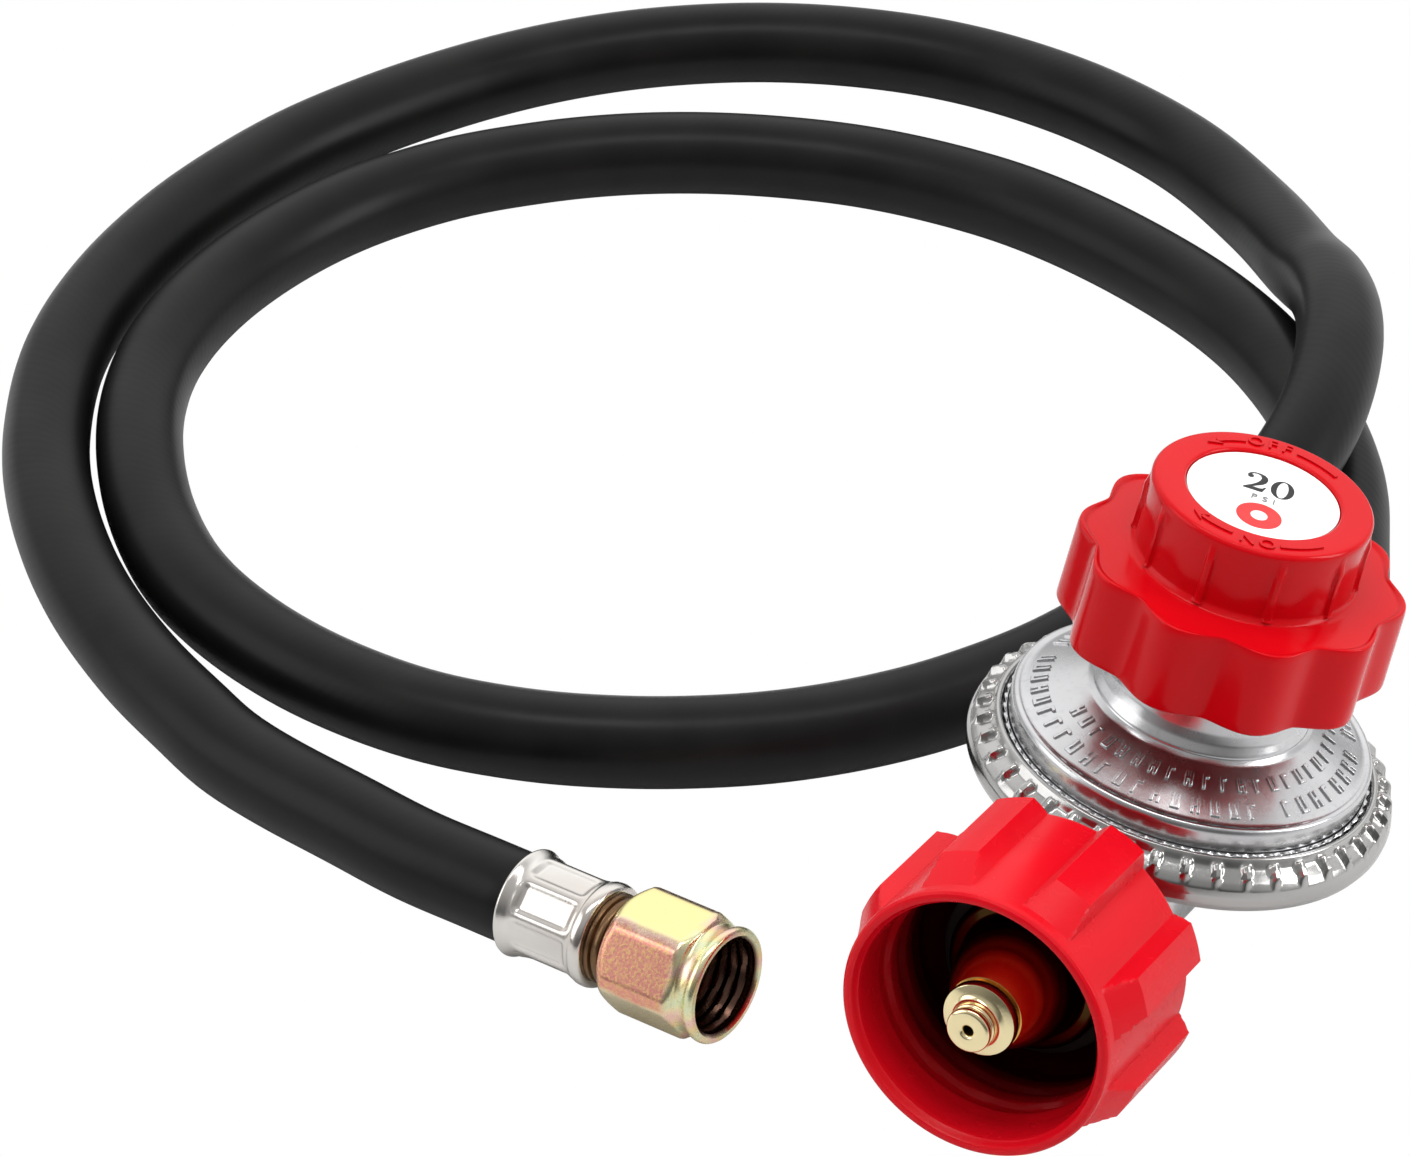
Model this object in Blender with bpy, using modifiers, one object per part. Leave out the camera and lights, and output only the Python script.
"""Adjustable propane regulator with its tank nut, rubber hose and flare end.

The hose lies coiled flat on the ground, close to z = 0.  The regulator leans
beside the coil on its tank nut, in a tilted frame of its own: there the gas
line runs along X (tank nut towards +X, outlet towards -X) and the knob turns
about Z.  The free end of the hose has two straight pieces, the link and the
tail, each in a frame with Z along the piece.
Lengths are in millimetres and are scaled to metres where they are used.
"""
import bpy
import bmesh
import math
from mathutils import Matrix, Vector

MM = 0.001
GAP = 0.3                                  # clearance between fitted pieces

# --------------------------------------------------------------- placement
SHIFT = Vector((1.834, 34.330, 0.099))     # moves the whole object onto its origin

REG_AT = Vector((69.95, -132.37, 18.6))    # where knob axis and gas line meet
REG_PITCH = 8.65                           # tank nut end raised, degrees
REG_AZIMUTH = 241.4                        # heading of the tank nut, degrees
REG_ROLL = 9.1                             # lean of the knob, degrees

FLEX_1 = Vector((-68.0, -103.7, 7.5))      # sideways flex, where the link starts
FLEX_2 = Vector((-45.5, -123.9, 9.0))      # up and down flex, where the tail starts
FLARE_TIP = Vector((3.4, -160.0, 12.0))    # centre of the flare nut's mouth

# -------------------------------------------------------------- dimensions
# Body: radii about Z, heights along Z
RING_R = 33.6                              # crimped band
FLANGE_R, FLANGE_BOTTOM, FLANGE_TOP = 32.0, 12.8, 16.2
PAN_TOP, BONNET_BOTTOM = 13.9, 15.1        # flange faces, diaphragm between them
BONNET_R = 28.4
NECK_R = 15.5
SPRING_MEAN_R, SPRING_WIRE_R = 9.5, 1.1

# Knob and adjusting screw
KNOB_TIP_R, KNOB_VALLEY_R = 25.7, 23.3
KNOB_LOBES, POINTS_PER_LOBE = 10, 5
KNOB_BOTTOM, KNOB_SHOULDER, KNOB_TOP = 38.1, 52.3, 64.8
HUB_R = 17.3
SCREW_R = 8.6
SCREW_HEX_R = 8.3                          # to the corners
LABEL_RECESS_R, LABEL_RECESS_FLOOR = 12.0, 63.9

# Linkage inside the body
LEVER_X, LEVER_Z = 9.0, -5.6               # lever pivot
PIN_R = 0.95
PLUNGER_R = 3.2
EAR_INNER, EAR_OUTER = 3.9, 5.4            # ear faces, distances from y = 0
CARRIER_BOTTOM, CARRIER_TOP = -8.6, -7.8
CARRIER_MIDDLE = (CARRIER_BOTTOM + CARRIER_TOP) / 2

# Tank nut: front is its +X end
NUT_FRONT, NUT_BACK = 64.8, 36.3
NUT_R, NUT_BORE_R = 21.7, 19.4
LUG_R, LUG_ROOT_R = 24.4, 19.9
LUG_HALF, LUG_ROOT_HALF = 3.1, 4.4         # half widths
LUG_FRONT, LUG_ROOT_FRONT = 56.0, 62.0
LUGS, FIRST_LUG_ANGLE = 8, 30.0

# Hose
HOSE_R = 7.5                               # 15 mm outside diameter
BORE_R = 4.0                               # 8 mm bore
HOSE_SIDES = 10
HOSE_STEP = 17.0                           # spacing of stations along the hose
SPLINE_SAMPLES = 12                        # samples between two route points
OUTLET_STATIONS = (36.0, 45.0, 54.5)       # hose points along the outlet's -X
LAST_STRAIGHT = 12.0                       # route point before the first flex
SOCKET_R = 7.9                             # dish around a flexing ball
RIM_BACK = 4.0                             # dish rim stands this far behind the ball

# Flare nut: BACK and FRONT are distances behind its mouth
FLARE_AF = 18.6                            # across flats
FLARE_BACK, FLARE_FRONT = 18.6, 3.8
FLARE_COLLAR_R, FLARE_THREAD_R = 9.45, 7.8

SHARP_ANGLE = 35.0                         # edges sharper than this stay hard, degrees

# Way of the hose (x, y, z) from the regulator's outlet to the free end: twice
# round, the second turn climbing over the first on the +X side.
ROUTE = [
    (101.3, -72.0, 8.7), (105.6, -55.0, 7.6), (107.4, -38.0, 7.5), (108.3, -25.5, 7.5),
    (107.6, -14.0, 7.5), (105.4, -2.0, 7.5), (101.5, 11.0, 7.5), (95.5, 24.5, 7.5),
    (86.0, 38.7, 7.5), (72.0, 54.0, 7.5), (57.6, 66.0, 7.5), (43.0, 74.3, 7.5),
    (28.4, 80.0, 7.5), (13.7, 83.2, 7.5), (-1.0, 84.6, 7.5), (-15.6, 84.0, 7.5),
    (-30.4, 81.2, 7.5), (-47.0, 75.5, 7.5), (-64.0, 65.0, 7.5), (-78.0, 51.0, 7.5),
    (-88.5, 35.0, 7.5), (-95.0, 18.0, 7.5), (-97.3, 1.0, 7.5), (-96.2, -16.0, 7.5),
    (-92.5, -33.0, 7.5), (-86.0, -49.0, 7.5), (-76.0, -63.0, 7.5), (-62.6, -75.5, 7.5),
    (-46.0, -85.6, 7.5), (-29.0, -91.0, 7.5), (-12.7, -93.0, 7.5), (2.4, -92.7, 7.5),
    (15.2, -90.8, 7.5), (28.2, -87.0, 7.5), (41.0, -81.4, 7.6), (57.0, -73.0, 9.0),
    (73.0, -62.8, 12.8), (86.5, -51.2, 17.2), (96.3, -38.2, 21.0), (103.4, -23.8, 23.5),
    (107.6, -7.5, 23.8), (109.3, 8.0, 22.0), (108.8, 23.8, 18.0), (106.0, 38.8, 13.0),
    (100.3, 60.6, 8.7), (89.0, 82.8, 7.5), (74.4, 98.9, 7.5), (59.3, 110.1, 7.5),
    (44.3, 117.5, 7.5), (29.2, 121.7, 7.5), (14.1, 123.5, 7.5), (-0.8, 123.0, 7.5),
    (-16.1, 120.3, 7.5), (-31.1, 115.2, 7.5), (-46.0, 107.7, 7.5), (-61.7, 97.3, 7.5),
    (-76.7, 84.5, 7.5), (-90.5, 68.0, 7.5), (-100.6, 51.5, 7.5), (-107.8, 34.5, 7.5),
    (-112.0, 17.5, 7.5), (-113.2, 0.0, 7.5), (-112.2, -17.5, 7.5), (-108.3, -36.0, 7.5),
    (-101.8, -54.5, 7.5), (-92.5, -72.5, 7.5), (-82.5, -87.3, 7.5),
]

# ------------------------------------------------------------------- scene
for old in list(bpy.data.objects):
    bpy.data.objects.remove(old, do_unlink=True)

parts = bpy.data.collections.new("propane_regulator_hose")
cutters = bpy.data.collections.new("cutters")
for collection in (parts, cutters):
    bpy.context.scene.collection.children.link(collection)


# --------------------------------------------------------------- materials
def material(name, colour, roughness, metallic=0.0):
    mat = bpy.data.materials.new(name)
    mat.use_nodes = True
    shader = mat.node_tree.nodes["Principled BSDF"]
    shader.inputs["Base Color"].default_value = (*colour, 1.0)
    shader.inputs["Roughness"].default_value = roughness
    shader.inputs["Metallic"].default_value = metallic
    mat.diffuse_color = (*colour, 1.0)
    return mat


def metal(name, colour, roughness):
    return material(name, colour, roughness, metallic=1.0)


RED = material("red_knob_plastic", colour=(0.62, 0.010, 0.016), roughness=0.32)
RED_NUT = material("red_nut_plastic", colour=(0.70, 0.012, 0.020), roughness=0.40)
LABEL = material("white_label", colour=(0.85, 0.85, 0.84), roughness=0.35)
RUBBER = material("diaphragm_rubber", colour=(0.03, 0.03, 0.03), roughness=0.70)
HOSE = material("hose_rubber", colour=(0.014, 0.014, 0.015), roughness=0.45)
NYLON = material("thermal_nylon", colour=(0.10, 0.10, 0.11), roughness=0.50)
CAST = metal("cast_body", colour=(0.62, 0.62, 0.61), roughness=0.42)
POLISHED = metal("polished_band", colour=(0.78, 0.78, 0.79), roughness=0.18)
BRASS = metal("brass", colour=(0.80, 0.58, 0.24), roughness=0.22)
STEEL = metal("spring_steel", colour=(0.50, 0.50, 0.51), roughness=0.35)
NICKEL = metal("nickel_ferrule", colour=(0.74, 0.72, 0.69), roughness=0.16)
ZINC = metal("yellow_zinc", colour=(0.80, 0.66, 0.36), roughness=0.25)


# ------------------------------------------------------------------ frames
def frame_matrix(x_axis, y_axis, z_axis, at):
    """World matrix of a frame with the given unit axes, placed in mm."""
    matrix = Matrix((x_axis, y_axis, z_axis)).transposed().to_4x4()
    matrix.translation = (at + SHIFT) * MM
    return matrix


def along(direction, at):
    """World matrix of a frame whose Z runs along a direction."""
    z_axis = direction.normalized()
    x_axis = Vector((0, 0, 1)).cross(z_axis).normalized()
    return frame_matrix(x_axis, z_axis.cross(x_axis), z_axis, at)


def tilted_regulator():
    """World matrix of the regulator's frame."""
    azimuth, pitch = math.radians(REG_AZIMUTH), math.radians(REG_PITCH)
    x_axis = Vector((math.cos(azimuth) * math.cos(pitch),
                     math.sin(azimuth) * math.cos(pitch),
                     math.sin(pitch)))
    level_y = Vector((0, 0, 1)).cross(x_axis).normalized()
    y_axis = Matrix.Rotation(-math.radians(REG_ROLL), 3, x_axis) @ level_y
    return x_axis, frame_matrix(x_axis, y_axis, x_axis.cross(y_axis), REG_AT)


def empty(name, matrix):
    frame = bpy.data.objects.new(name, None)
    parts.objects.link(frame)
    frame.matrix_world = matrix
    return frame


GAS_LINE, reg_matrix = tilted_regulator()
LINK_DIRECTION = FLEX_2 - FLEX_1
TAIL_DIRECTION = FLARE_TIP - FLEX_2
LINK_LENGTH = LINK_DIRECTION.length
TAIL_LENGTH = TAIL_DIRECTION.length
REG = empty("regulator_frame", reg_matrix)
LINK = empty("hose_link_frame", along(LINK_DIRECTION, FLEX_1))
TAIL = empty("hose_tail_frame", along(TAIL_DIRECTION, FLEX_2))

# ----------------------------------------------------------------- helpers
# Rotations that lay a piece's own Z along an axis of its frame
ALONG_Z = (0.0, 0.0, 0.0)
ALONG_X = (0.0, math.pi / 2, 0.0)
ALONG_MINUS_X = (0.0, -math.pi / 2, 0.0)
ALONG_MINUS_Y = (math.pi / 2, 0.0, 0.0)    # own Y goes to the frame's Z


def place(piece, mat=None, frame=REG, loc=(0, 0, 0), rot=ALONG_Z):
    """Put a piece in its frame; one without a material is a hidden helper."""
    (parts if mat else cutters).objects.link(piece)
    piece.parent = frame
    piece.location = Vector(loc) * MM
    piece.rotation_euler = rot
    if mat:
        piece.data.materials.append(mat)
    else:
        piece.hide_render = True
        piece.display_type = 'WIRE'
    return piece


def turned(name, steps, outline, mat=None, rot=ALONG_Z, frame=REG):
    """Turn an outline of (radius, height) points about the piece's own Z."""
    points = list(outline)
    pairs = zip(points, points[1:] + points[:1])
    if sum(a[0] * b[1] - b[0] * a[1] for a, b in pairs) > 0:
        points.reverse()                   # the outer side must run downwards
    count = len(points)
    edges = [(i, i + 1) for i in range(count - 1)]
    touches_axis = points[0][0] == 0 and points[-1][0] == 0
    if not touches_axis:
        edges.append((count - 1, 0))
    mesh = bpy.data.meshes.new(name)
    mesh.from_pydata([(radius * MM, 0.0, z * MM) for radius, z in points], edges, [])
    piece = bpy.data.objects.new(name, mesh)
    screw = piece.modifiers.new("turn", 'SCREW')
    screw.steps = screw.render_steps = steps
    screw.use_merge_vertices = True
    screw.merge_threshold = 0.000001
    return place(piece, mat, frame, rot=rot)


def from_bmesh(name, shape, mat=None, **placing):
    bmesh.ops.recalc_face_normals(shape, faces=shape.faces)
    mesh = bpy.data.meshes.new(name)
    shape.to_mesh(mesh)
    shape.free()
    return place(bpy.data.objects.new(name, mesh), mat, **placing)


def box(name, low, high, mat=None):
    """A box between two opposite corners."""
    low, high = Vector(low), Vector(high)
    shape = bmesh.new()
    bmesh.ops.create_cube(shape, size=1.0)
    bmesh.ops.scale(shape, vec=(high - low) * MM, verts=shape.verts)
    bmesh.ops.translate(shape, vec=(high + low) * 0.5 * MM, verts=shape.verts)
    return from_bmesh(name, shape, mat)


def prism(name, radius, low, high, sides, mat=None, turn=0.0, **placing):
    """A prism along the piece's own Z from low to high; radius to the corners."""
    shape = bmesh.new()
    bmesh.ops.create_cone(shape, cap_ends=True, segments=sides,
                          radius1=radius * MM, radius2=radius * MM,
                          depth=(high - low) * MM,
                          matrix=Matrix.Translation((0, 0, (low + high) / 2 * MM))
                          @ Matrix.Rotation(turn, 4, 'Z'))
    return from_bmesh(name, shape, mat, **placing)


def polyline(name, points, dimensions='3D', closed=False):
    """Curve data holding one polyline through (x, y, z) points."""
    curve = bpy.data.curves.new(name, 'CURVE')
    curve.dimensions = dimensions
    curve.render_resolution_u = 0
    spline = curve.splines.new('POLY')
    spline.points.add(len(points) - 1)
    for target, (x, y, z) in zip(spline.points, points):
        target.co = (x * MM, y * MM, z * MM, 1.0)
    spline.use_cyclic_u = closed
    return curve


def welded(name, curve, mat=None, **placing):
    """Turn a curve into a welded mesh and drop the curve's object."""
    guide = bpy.data.objects.new(name + "_guide", curve)
    bpy.context.scene.collection.objects.link(guide)
    depsgraph = bpy.context.evaluated_depsgraph_get()
    mesh = bpy.data.meshes.new_from_object(guide.evaluated_get(depsgraph))
    bpy.data.objects.remove(guide, do_unlink=True)
    mesh.name = name
    shape = bmesh.new()
    shape.from_mesh(mesh)
    bmesh.ops.remove_doubles(shape, verts=shape.verts, dist=0.000001)
    bmesh.ops.recalc_face_normals(shape, faces=shape.faces)
    shape.to_mesh(mesh)
    shape.free()
    return place(bpy.data.objects.new(name, mesh), mat, **placing)


def flat(name, outline, half, mat, **placing):
    """A flat (x, y) outline with a thickness of twice half."""
    curve = polyline(name + "_outline", [(x, y, 0.0) for x, y in outline], '2D', closed=True)
    curve.fill_mode = 'BOTH'
    curve.extrude = half * MM
    return welded(name, curve, mat, **placing)


def coil(name, radius, wire, low, high, turns, bevel_resolution, rot=ALONG_Z):
    """A helical steel spring between two heights, its ends wound flat."""
    flat_end = 0.04                        # share of the wire at each end
    eased = 0.35                           # share of the rise that eases in and out
    count = int(turns * 10)
    points = []
    for i in range(count + 1):
        angle = 2 * math.pi * turns * (i / count)
        rise = min(1.0, max(0.0, (i / count - flat_end) / (1 - 2 * flat_end)))
        ease = 0.5 - 0.5 * math.cos(math.pi * rise)
        height = low + (high - low) * (eased * ease + (1 - eased) * rise)
        points.append((radius * math.cos(angle), radius * math.sin(angle), height))
    curve = polyline(name + "_path", points)
    curve.bevel_depth = wire * MM
    curve.bevel_resolution = bevel_resolution
    curve.use_fill_caps = True
    return welded(name, curve, STEEL, rot=rot)


def boolean(piece, operation, *tools):
    for tool in tools:
        modifier = piece.modifiers.new(operation.lower(), 'BOOLEAN')
        modifier.operation = operation
        modifier.solver = 'EXACT'
        modifier.object = tool


def arc(centre, radius, start, end, count):
    """Outline points on an arc from start to end, in degrees."""
    angles = [math.radians(start + (end - start) * i / count) for i in range(count + 1)]
    return [(centre[0] + radius * math.cos(angle), centre[1] + radius * math.sin(angle))
            for angle in angles]


# -------------------------------------------------------------------- body
def lower_body():
    """A shallow pan under the diaphragm, crossed by the round gas passage."""
    body = turned("lower_body", 32, [
        (0, -3.4), (8, -2.9), (14, 0.5), (20, 4.3), (24.5, 7.5), (BONNET_R, 10.6),
        (BONNET_R, FLANGE_BOTTOM), (FLANGE_R, FLANGE_BOTTOM), (FLANGE_R, PAN_TOP),
        (0, PAN_TOP)], CAST)
    boolean(body, 'UNION', turned("gas_passage", 24, [
        (0, -31.0), (8.6, -31.0), (8.6, -21.0), (11.4, -13.0), (11.4, 19.0),
        (10.2, 21.0), (10.2, 31.0), (0, 31.0)], rot=ALONG_X))
    cavity = turned("body_cavity", 32, [
        (0, 15), (25.2, 15), (25.2, 10.4), (21.0, 8.6), (16.5, 7.0), (14.0, 3.0),
        (9.5, 0.2), (0, 0.2)])
    linkage_room = turned("linkage_room", 24, [
        (0, -5.0), (10.6, -5.0), (10.6, 14.0), (0, 14.0)], rot=ALONG_X)
    inlet_bore = turned("inlet_bore", 20, [
        (0, 10.0), (4.8, 10.0), (4.8, 22.5), (8.3, 22.5), (8.3, 33.0), (0, 33.0)],
        rot=ALONG_X)
    outlet_bore = turned("outlet_bore", 16, [
        (0, 3.0), (3.2, 3.0), (3.2, 22.0), (5.3, 22.0), (5.3, 33.0), (0, 33.0)],
        rot=ALONG_MINUS_X)
    boolean(body, 'DIFFERENCE', cavity, linkage_room, inlet_bore, outlet_bore)


def band_and_bonnet():
    groove_r = FLANGE_R + GAP              # the band grips round both flanges
    groove_bottom, groove_top = FLANGE_BOTTOM - GAP, FLANGE_TOP + GAP
    turned("crimp_ring", 36, [
        (29.1, 18.6), (30.0, 18.9), (32.2, 17.4), (33.3, 16.1), (RING_R, 14.2),
        (33.4, 12.3), (32.6, 11.0), (31.2, 10.6), (28.8, 11.2), (28.8, groove_bottom),
        (groove_r, groove_bottom), (groove_r, groove_top), (29.1, groove_top)], POLISHED)
    turned("bonnet", 32, [
        (9.0, 46.0), (12.8, 46.0), (13.6, 45.2), (13.6, 37.4), (NECK_R, 36.4),
        (NECK_R, 29.2), (16.3, 28.1), (17.0, 27.3), (27.4, 22.2), (BONNET_R, 21.5),
        (BONNET_R, FLANGE_TOP), (FLANGE_R, FLANGE_TOP), (FLANGE_R, BONNET_BOTTOM),
        (25.8, BONNET_BOTTOM), (25.8, 20.6), (14.4, 25.4), (12.6, 26.6), (12.6, 40.4),
        (9.0, 41.0)], CAST)


def diaphragm():
    """Rubber diaphragm with its plate and rivet."""
    edge_r = FLANGE_R - GAP
    bottom, top = PAN_TOP + GAP, BONNET_BOTTOM - GAP
    turned("diaphragm", 24, [
        (2.3, bottom), (17.2, bottom), (18.9, 15.5), (21.4, 15.5), (23.1, bottom),
        (edge_r, bottom), (edge_r, top), (23.4, top), (21.7, 16.2), (18.6, 16.2),
        (16.9, top), (2.3, top)], RUBBER)
    turned("diaphragm_plate", 20, [
        (2.3, 15.1), (15.6, 15.1), (16.0, 15.9), (12.4, 16.3), (12.2, 18.0),
        (11.3, 18.0), (11.1, 16.3), (2.3, 16.3)], STEEL)
    turned("diaphragm_rivet", 12, [
        (0, 18.2), (3.0, 18.1), (3.6, 17.4), (3.6, 16.6), (2.0, 16.6), (2.0, 13.9),
        (6.0, 13.9), (6.0, 12.9), (2.0, 12.9), (2.0, 8.9), (1.4, 8.1), (0, 7.8)], STEEL)


def main_spring():
    """The spring on the diaphragm plate and the button on top of it."""
    coil("main_spring", SPRING_MEAN_R, SPRING_WIRE_R, low=17.8, high=35.5, turns=5.5,
         bevel_resolution=1)
    turned("spring_button", 20, [
        (0, 34.2), (6.6, 34.2), (7.6, 35.4), (7.6, 37.0), (11.4, 37.0),
        (11.4, 38.8), (6.5, 39.4), (3.2, 40.2), (0, 40.3)], STEEL)


# ---------------------------------------------------------- knob and screw
def adjusting_screw():
    screw = turned("adjusting_screw", 20, [
        (0, 40.7), (3.0, 40.8), (7.6, 41.6), (SCREW_R, 42.6), (SCREW_R, 54.0),
        (8.0, 54.2), (0, 54.2)], BRASS)
    boolean(screw, 'UNION', prism("adjusting_screw_hex", SCREW_HEX_R, 52.0, 59.0, 6))
    boolean(screw, 'DIFFERENCE', prism("adjusting_screw_tap", 2.3, 49.5, 61.0, 12))


def knob_rim():
    """The lobed (x, y) outline of the knob."""
    count = KNOB_LOBES * POINTS_PER_LOBE
    rim = []
    for i in range(count):
        angle = 2 * math.pi * i / count
        lobe = 0.5 + 0.5 * math.cos(KNOB_LOBES * angle)
        radius = KNOB_VALLEY_R + (KNOB_TIP_R - KNOB_VALLEY_R) * lobe ** 0.8
        rim.append((radius * math.cos(angle), radius * math.sin(angle)))
    return rim


def knob():
    """Lobed skirt with a round hub on top, hollow underneath."""
    body = flat("knob", knob_rim(), (KNOB_SHOULDER - KNOB_BOTTOM) / 2, RED,
                loc=(0, 0, (KNOB_SHOULDER + KNOB_BOTTOM) / 2))
    boolean(body, 'UNION', turned("knob_hub", 30, [
        (0, 48.0), (17.0, 48.0), (17.0, 52.3), (16.6, 54.0), (16.6, 61.5),
        (HUB_R, 62.2), (HUB_R, 64.3), (16.8, KNOB_TOP), (0, KNOB_TOP)]))
    hollow = turned("knob_hollow", 24, [
        (0, 36.0), (20.8, 36.0), (20.8, 50.0), (14.6, 50.0), (14.6, 54.8), (0, 54.8)])
    socket = prism("knob_socket", SCREW_HEX_R + 0.5, 53.0, 59.4, 6)
    top_cut = turned("knob_top_cut", 24, [
        (0, 58.0), (2.2, 58.0), (2.2, 61.5), (4.6, 61.5), (4.6, LABEL_RECESS_FLOOR),
        (LABEL_RECESS_R, LABEL_RECESS_FLOOR), (LABEL_RECESS_R, 66.0), (0, 66.0)])
    boolean(body, 'DIFFERENCE', hollow, socket, top_cut)


def knob_screw_and_label():
    turned("knob_screw", 12, [
        (0, 50.2), (1.6, 50.4), (1.9, 51.0), (1.9, 61.8), (3.9, 61.8), (3.9, 63.0),
        (3.0, 63.5), (0, 63.5)], STEEL)
    radius = LABEL_RECESS_R - GAP
    bottom, top = LABEL_RECESS_FLOOR + GAP, KNOB_TOP - 0.3
    turned("knob_label", 28, [(0, bottom), (radius, bottom), (radius, top), (0, top)], LABEL)


# ----------------------------------------------------------- inner linkage
def inlet_valve():
    """Orifice, and the slotted plunger that carries the rubber seat."""
    turned("inlet_orifice", 16, [
        (1.0, 15.6), (1.7, 15.6), (2.4, 16.6), (4.5, 18.0), (4.5, 22.5),
        (6.8, 22.8), (6.8, 24.3), (1.0, 24.3)], BRASS, ALONG_X)
    plunger = turned("valve_plunger", 16, [
        (0, -1.5), (2.6, -1.5), (PLUNGER_R, -0.9), (PLUNGER_R, 15.0), (2.6, 15.0),
        (2.6, 13.2), (0, 13.2)], BRASS, ALONG_X)
    boolean(plunger, 'DIFFERENCE',
            box("plunger_slot", (LEVER_X - 1.6, -1.7, -5), (LEVER_X + 1.6, 1.7, 5)))
    turned("seat_disc", 14, [(0, 13.5), (2.3, 13.5), (2.3, 15.3), (0, 15.3)],
           RUBBER, ALONG_X)


def across_pivot(name, radius, half_length, mat=None):
    """A 12-sided round along Y, centred on the lever pivot."""
    return prism(name, radius, -half_length, half_length, 12, mat,
                 rot=ALONG_MINUS_Y, loc=(LEVER_X, 0, LEVER_Z))


def lever():
    """Angled lever with an eye at its pivot, and its pin."""
    # (x, z) from the pivot
    outline = [
        (-11.2, 11.4), (-0.7, 11.4), (-0.7, 2.0), (-1.5, 1.2), (-1.8, 0.0),
        (-1.3, -1.3), (0.0, -1.8), (1.3, -1.3), (1.8, 0.0), (1.5, 1.2),
        (0.7, 2.0), (0.7, 12.8), (-11.2, 12.8)]
    arm = flat("lever", [(LEVER_X + x, LEVER_Z + z) for x, z in outline], 1.3, STEEL,
               rot=ALONG_MINUS_Y)
    boolean(arm, 'DIFFERENCE', across_pivot("lever_hole", PIN_R + 0.3, 4.0))
    across_pivot("lever_pin", PIN_R, 5.8, STEEL)


def lever_carrier():
    """Plate with two ears for the pin and a cradle round the plunger."""
    carrier = box("lever_carrier", (-1.0, -EAR_OUTER, CARRIER_BOTTOM),
                  (12.0, EAR_OUTER, CARRIER_TOP), STEEL)
    for side in (-1, 1):
        low_y, high_y = sorted((EAR_INNER * side, EAR_OUTER * side))
        boolean(carrier, 'UNION', box("carrier_ear_%d" % (side + 1),
                                      (LEVER_X - 2.2, low_y, CARRIER_MIDDLE),
                                      (LEVER_X + 2.2, high_y, LEVER_Z + 1.7)))
    boolean(carrier, 'UNION',
            box("carrier_cradle", (0.0, -5.0, CARRIER_MIDDLE), (2.6, 5.0, 1.2)))
    boolean(carrier, 'DIFFERENCE',
            prism("carrier_cradle_bore", PLUNGER_R + 0.4, -1.5, 4.0, 20, rot=ALONG_X),
            across_pivot("carrier_pin_bore", PIN_R + 0.35, 7.0))


# ------------------------------------------------------------ tank fitting
def inlet_nipple():
    """Nipple with its O-ring and the bushing round it."""
    turned("inlet_nipple", 20, [
        (2.2, 24.6), (8.0, 24.6), (8.0, 27.9), (6.3, 27.9), (6.3, 30.2), (8.0, 30.2),
        (8.0, 31.3), (10.0, 31.3), (10.0, 34.0), (8.0, 34.0), (8.0, 45.0),
        (12.6, 45.0), (12.6, 47.6), (10.0, 48.6), (9.7, 50.5), (9.0, 53.2),
        (7.6, 56.2), (5.7, 58.8), (4.5, 60.0), (4.5, 60.8), (3.4, 60.8),
        (3.4, 49.0), (2.2, 48.4)], BRASS, ALONG_X)
    turned("nipple_o_ring", 18, arc((7.25, 29.05), 0.62, 0, -300, 5), RUBBER, ALONG_X)
    turned("thermal_bushing", 20, [
        (8.4, 36.3), (11.4, 36.3), (11.4, 41.3), (14.6, 41.3), (14.6, 44.6),
        (8.4, 44.6)], NYLON, ALONG_X)


def flow_limiter():
    """Tip, poppet and spring inside the nipple's +X end."""
    turned("limiter_tip", 16, [
        (0.8, 56.6), (3.1, 56.6), (3.1, 61.1), (5.8, 61.1), (5.8, 63.0),
        (3.9, 63.2), (3.5, 64.0), (3.5, 66.5), (3.2, 66.8), (0.8, 66.8)], BRASS, ALONG_X)
    turned("flow_poppet", 12, [
        (0, 51.4), (1.0, 51.6), (1.5, 52.4), (1.5, 54.2), (2.9, 54.2), (2.9, 56.2),
        (0, 56.2)], BRASS, ALONG_X)
    coil("limiter_spring", 2.45, 0.28, low=49.4, high=53.8, turns=4.0,
         bevel_resolution=0, rot=ALONG_X)


def nut_lugs():
    """Grip lugs: a block each, its front face sloping down onto the nut."""
    shape = bmesh.new()
    for k in range(LUGS):
        angle = math.radians(FIRST_LUG_ANGLE + 360 / LUGS * k)
        for vert in bmesh.ops.create_cube(shape, size=1.0)["verts"]:
            if vert.co.x > 0:
                radius, half, front = LUG_R, LUG_HALF, LUG_FRONT
            else:
                radius, half, front = LUG_ROOT_R, LUG_ROOT_HALF, LUG_ROOT_FRONT
            z = front if vert.co.z > 0 else NUT_BACK + 0.8
            side = half if vert.co.y > 0 else -half
            vert.co = Vector((radius * math.cos(angle) - side * math.sin(angle),
                              radius * math.sin(angle) + side * math.cos(angle), z)) * MM
    return from_bmesh("tank_nut_lugs", shape, rot=ALONG_X)


def tank_nut():
    nut = turned("tank_nut", 36, [
        (11.8, NUT_BACK), (21.0, NUT_BACK), (NUT_R, 37.2), (NUT_R, NUT_FRONT),
        (20.0, NUT_FRONT), (NUT_BORE_R, 64.0), (NUT_BORE_R, 42.0), (18.4, 41.0),
        (11.8, 41.0)], RED_NUT, ALONG_X)
    boolean(nut, 'UNION', nut_lugs())


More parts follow.
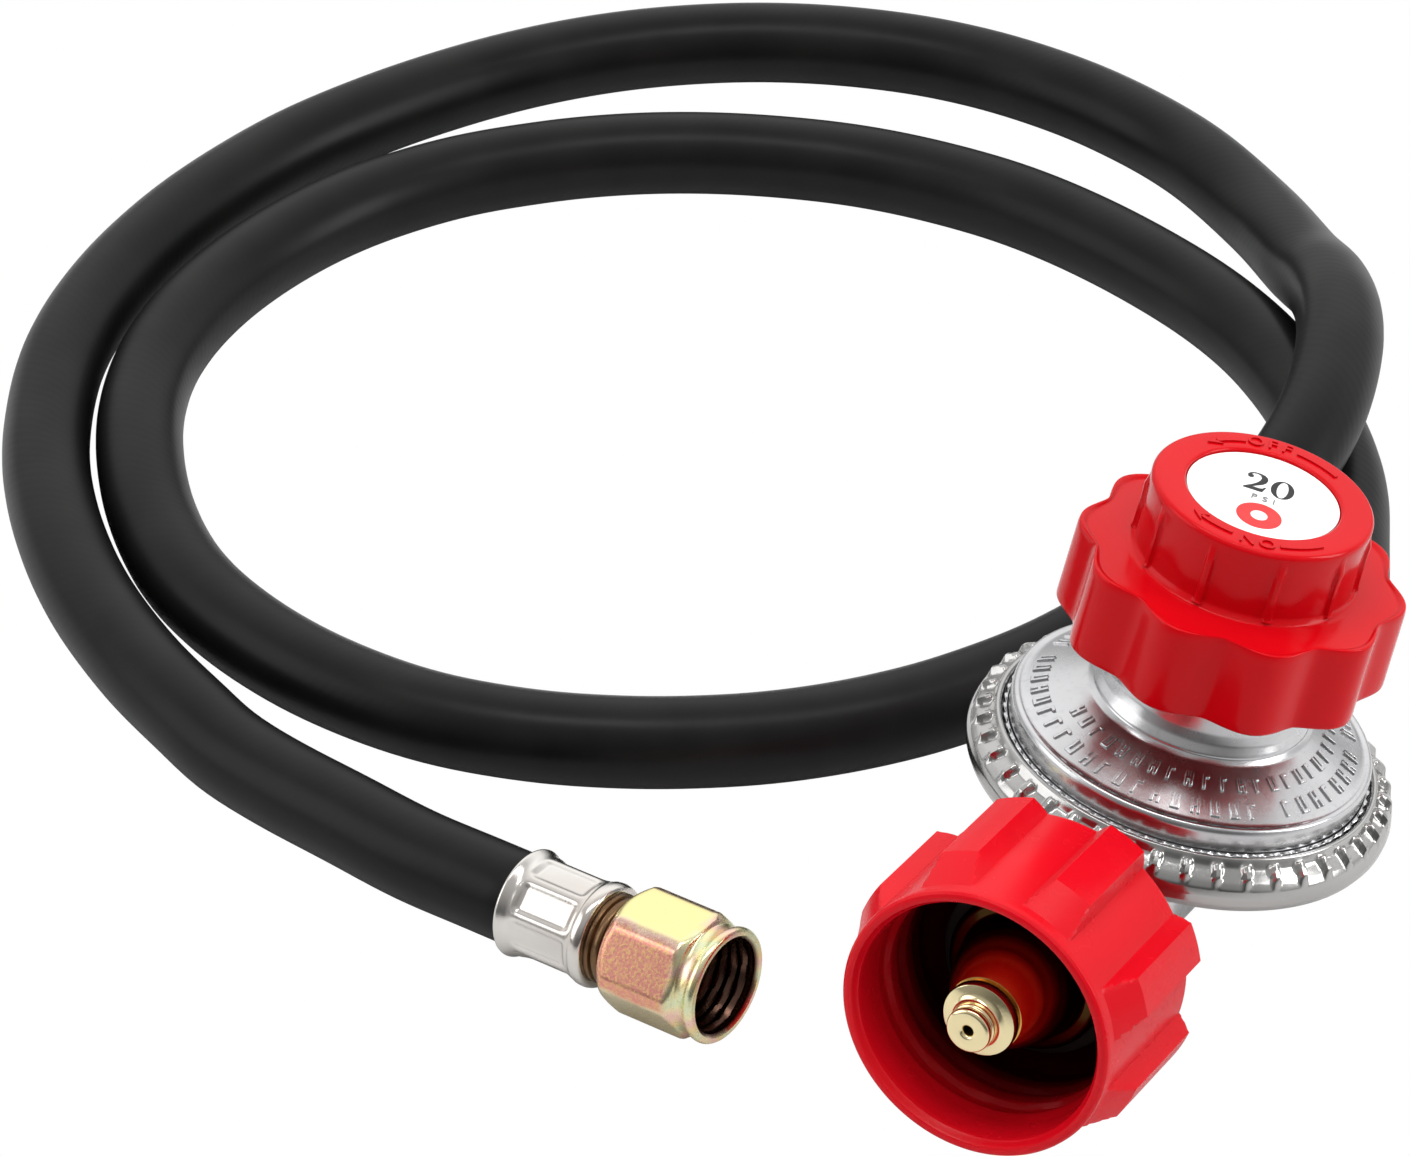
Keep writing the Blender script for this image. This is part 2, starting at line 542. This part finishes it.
# -------------------------------------------------------------- gas outlet
def gas_outlet():
    """Barb inside the hose and the ferrule round it."""
    turned("outlet_barb", 14, [
        (2.2, 22.4), (5.0, 22.4), (5.0, 31.3), (8.2, 31.3), (8.2, 34.2), (3.6, 34.3),
        (3.6, 40.0), (3.2, 40.2), (3.6, 45.0), (3.2, 45.2), (3.6, 49.0),
        (3.0, 50.8), (2.2, 50.8)], BRASS, ALONG_MINUS_X)
    turned("outlet_ferrule", 20, [
        (4.2, 34.6), (8.4, 34.6), (9.1, 35.4), (9.1, 51.4), (9.5, 52.0),
        (9.5, 52.7), (7.9, 52.7), (7.9, 35.7), (4.2, 35.6)], NICKEL, ALONG_MINUS_X)


# -------------------------------------------------------------------- hose
def smooth_path(points, step):
    """Catmull-Rom through the points, resampled at an even spacing."""
    knots = [points[0] * 2 - points[1]] + points + [points[-1] * 2 - points[-2]]
    fine = []
    for before, start, end, after in zip(knots, knots[1:], knots[2:], knots[3:]):
        for j in range(SPLINE_SAMPLES):
            t = j / SPLINE_SAMPLES
            fine.append(0.5 * ((2 * start) + (end - before) * t
                               + (2 * before - 5 * start + 4 * end - after) * t ** 2
                               + (3 * start - before - 3 * end + after) * t ** 3))
    fine.append(points[-1])
    travelled = [0.0]
    for start, end in zip(fine, fine[1:]):
        travelled.append(travelled[-1] + (end - start).length)
    count = round(travelled[-1] / step)
    path, k = [], 0
    for i in range(count + 1):
        target = travelled[-1] * i / count
        while k < len(fine) - 2 and travelled[k + 1] < target:
            k += 1
        share = (target - travelled[k]) / (travelled[k + 1] - travelled[k])
        path.append(fine[k].lerp(fine[k + 1], share))
    return path


def hose_round():
    """The hose's cross-section, swept along its path."""
    angles = [2 * math.pi * (i / HOSE_SIDES + 0.25) for i in range(HOSE_SIDES)]
    points = [(HOSE_R * math.cos(angle), HOSE_R * math.sin(angle), 0.0) for angle in angles]
    section = polyline("hose_round", points, '2D', closed=True)
    return place(bpy.data.objects.new("hose_round", section), frame=None)


def hose_main():
    """The coiled hose, dished at its free end for the link's ball."""
    arrive = (FLEX_1 - Vector(ROUTE[-1])).normalized()
    arrive = arrive.lerp(LINK_DIRECTION.normalized(), 0.5).normalized()
    way = [REG_AT - GAS_LINE * station for station in OUTLET_STATIONS]
    way += [Vector(point) for point in ROUTE]
    way += [FLEX_1 - arrive * LAST_STRAIGHT, FLEX_1 - arrive * RIM_BACK]

    path = [point + SHIFT for point in smooth_path(way, HOSE_STEP)]
    curve = polyline("hose_path", path)
    curve.bevel_mode = 'OBJECT'
    curve.bevel_object = hose_round()
    curve.use_fill_caps = False
    curve.twist_mode = 'Z_UP'
    hose = welded("hose_main", curve, HOSE, frame=None)
    wall = hose.modifiers.new("wall", 'SOLIDIFY')
    wall.thickness = (HOSE_R - BORE_R) * MM
    wall.offset = -1.0
    wall.use_even_offset = True

    shape = bmesh.new()
    bmesh.ops.create_uvsphere(shape, u_segments=20, v_segments=12, radius=SOCKET_R * MM,
                              matrix=along(arrive, FLEX_1))
    boolean(hose, 'DIFFERENCE', from_bmesh("hose_dish", shape, frame=None))


def behind_mouth(outline):
    """Tail outline from (radius, distance behind the flare nut's mouth)."""
    return [(radius, TAIL_LENGTH - back) for radius, back in outline]


def hose_free_end():
    """Link and tail, each starting with a ball about its frame's origin."""
    ball = [(BORE_R, -math.sqrt(HOSE_R ** 2 - BORE_R ** 2))]
    ball += arc((0, 0), HOSE_R, -50, 0, 4)
    rim_z = LINK_LENGTH - RIM_BACK
    dish_middle = math.radians(45)
    turned("hose_link", 20, ball + [
        (HOSE_R, rim_z), (math.sqrt(SOCKET_R ** 2 - RIM_BACK ** 2), rim_z),
        (SOCKET_R * math.sin(dish_middle), LINK_LENGTH - SOCKET_R * math.cos(dish_middle)),
        (BORE_R, LINK_LENGTH - math.sqrt(SOCKET_R ** 2 - BORE_R ** 2))], HOSE, frame=LINK)
    turned("hose_tail", 20, ball + behind_mouth([
        (HOSE_R, 39.6), (7.0, 39.1), (7.0, 25.0), (BORE_R, 25.0)]), HOSE, frame=TAIL)


# --------------------------------------------------------------- flare end
def flare_fitting():
    """Ferrule round the tail and the stem inside it."""
    turned("flare_ferrule", 20, behind_mouth([
        (4.2, 23.2), (7.3, 23.2), (7.3, 38.7), (8.7, 38.7), (8.8, 38.0), (8.1, 36.6),
        (8.0, 25.4), (8.4, 24.2), (8.4, 22.9), (7.8, 22.2), (4.2, 22.2)]),
        NICKEL, frame=TAIL)
    turned("flare_stem", 16, behind_mouth([
        (2.2, 38.4), (3.0, 38.4), (3.6, 36.6), (3.2, 36.4), (3.6, 32.0), (3.2, 31.8),
        (3.6, 27.4), (3.6, 21.9), (7.4, 21.9), (7.4, 19.8), (5.2, 19.4), (5.2, 12.7),
        (7.3, 12.6), (7.3, 10.0), (3.6, 6.2), (2.2, 6.2)]), BRASS, frame=TAIL)


def flare_nut():
    """Chamfered hexagon with a round collar at its mouth."""
    nut = prism("flare_nut", FLARE_AF / 2 / math.cos(math.pi / 6),
                TAIL_LENGTH - FLARE_BACK, TAIL_LENGTH - FLARE_FRONT, 6, ZINC,
                turn=math.radians(30), frame=TAIL)
    boolean(nut, 'INTERSECT', turned("flare_nut_chamfer", 24, behind_mouth([
        (0, FLARE_BACK), (9.1, FLARE_BACK), (10.7, 16.9), (10.7, 5.5),
        (9.1, FLARE_FRONT), (0, FLARE_FRONT)]), frame=TAIL))
    boolean(nut, 'UNION', turned("flare_nut_collar", 24, behind_mouth([
        (0, 9.0), (8.9, 9.0), (8.9, 2.9), (FLARE_COLLAR_R, 1.6), (FLARE_COLLAR_R, 0),
        (0, 0)]), frame=TAIL))
    boolean(nut, 'DIFFERENCE', turned("flare_nut_bore", 20, behind_mouth([
        (0, 22.0), (5.6, 22.0), (5.6, 13.0), (FLARE_THREAD_R, 12.9),
        (FLARE_THREAD_R, -2.0), (0, -2.0)]), frame=TAIL))


def shade_parts():
    """Round pieces read as smooth, hard edges stay sharp."""
    for piece in parts.objects:
        if piece.type == 'MESH':
            for modifier in piece.modifiers:
                if modifier.type == 'SCREW':
                    modifier.use_smooth_shade = True
            piece.data.shade_smooth()
            piece.data.set_sharp_from_angle(angle=math.radians(SHARP_ANGLE))


for build in (lower_body, band_and_bonnet, diaphragm, main_spring,
              adjusting_screw, knob, knob_screw_and_label,
              inlet_valve, lever, lever_carrier,
              inlet_nipple, flow_limiter, tank_nut, gas_outlet,
              hose_main, hose_free_end, flare_fitting, flare_nut, shade_parts):
    build()
